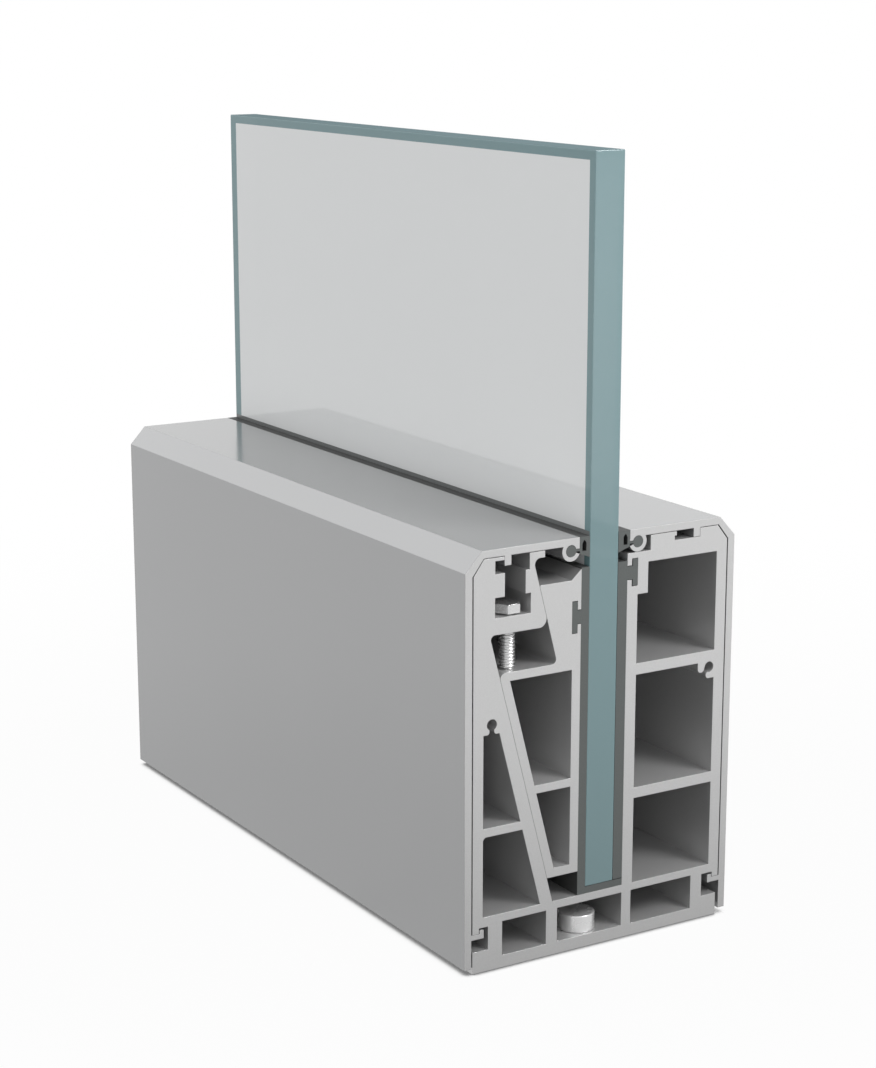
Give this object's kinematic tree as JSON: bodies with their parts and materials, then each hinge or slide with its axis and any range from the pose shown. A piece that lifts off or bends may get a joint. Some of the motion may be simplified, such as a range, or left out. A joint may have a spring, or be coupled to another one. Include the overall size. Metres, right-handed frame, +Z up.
{
  "type": "glass railing base channel",
  "caption": "Cut length of a glass railing base channel: extruded base, wedge clamp driven by jack screws, clip-on covers, gaskets and a glass pane.",
  "frame": {"origin": "middle of the foot's underside, half way along the channel and half way between the covers' outer faces", "axes": "+X across the channel from the wedge side towards the hollow side, +Y along the channel away from the cut end in view, +Z up"},
  "size_m": [0.113, 0.268, 0.28],
  "materials": {
    "mill_aluminium": "fine sawn and satin",
    "anodised_aluminium": "satin anodised",
    "clear_glass": "clear, polished edges",
    "gasket_rubber": "matte",
    "bright_steel": "bright zinc plated"
  },
  "bodies": {
    "channel": {"base_profile": "mill_aluminium", "left_cover": "anodised_aluminium", "right_cover": "anodised_aluminium", "glass_pane": "clear_glass", "setting_strip": "gasket_rubber", "base_gasket": "gasket_rubber", "left_top_seal": "gasket_rubber", "right_top_seal": "gasket_rubber", "anchor_bolt_front": "bright_steel", "anchor_bolt_rear": "bright_steel"},
    "wedge": {"clamp_wedge": "mill_aluminium", "wedge_gasket": "gasket_rubber"},
    "front_jack": {"jack_screw_front": "bright_steel"},
    "rear_jack": {"jack_screw_rear": "bright_steel"}
  },
  "joints": [
    {"name": "wedge_slide", "type": "slide", "parent": "channel", "child": "wedge", "axis": [-0.2562, 0, 0.9666], "range_m": [0, 0.003]},
    {"name": "front_jack_travel", "type": "slide", "parent": "channel", "child": "front_jack", "axis": [0, 0, 1], "range_m": [0, 0.0029]},
    {"name": "rear_jack_travel", "type": "slide", "parent": "channel", "child": "rear_jack", "axis": [0, 0, 1], "range_m": [0, 0.0029]}
  ],
  "couplings": [
    {"joint": "front_jack_travel", "follows": "wedge_slide", "ratio": 0.96663},
    {"joint": "rear_jack_travel", "follows": "wedge_slide", "ratio": 0.96663}
  ]
}
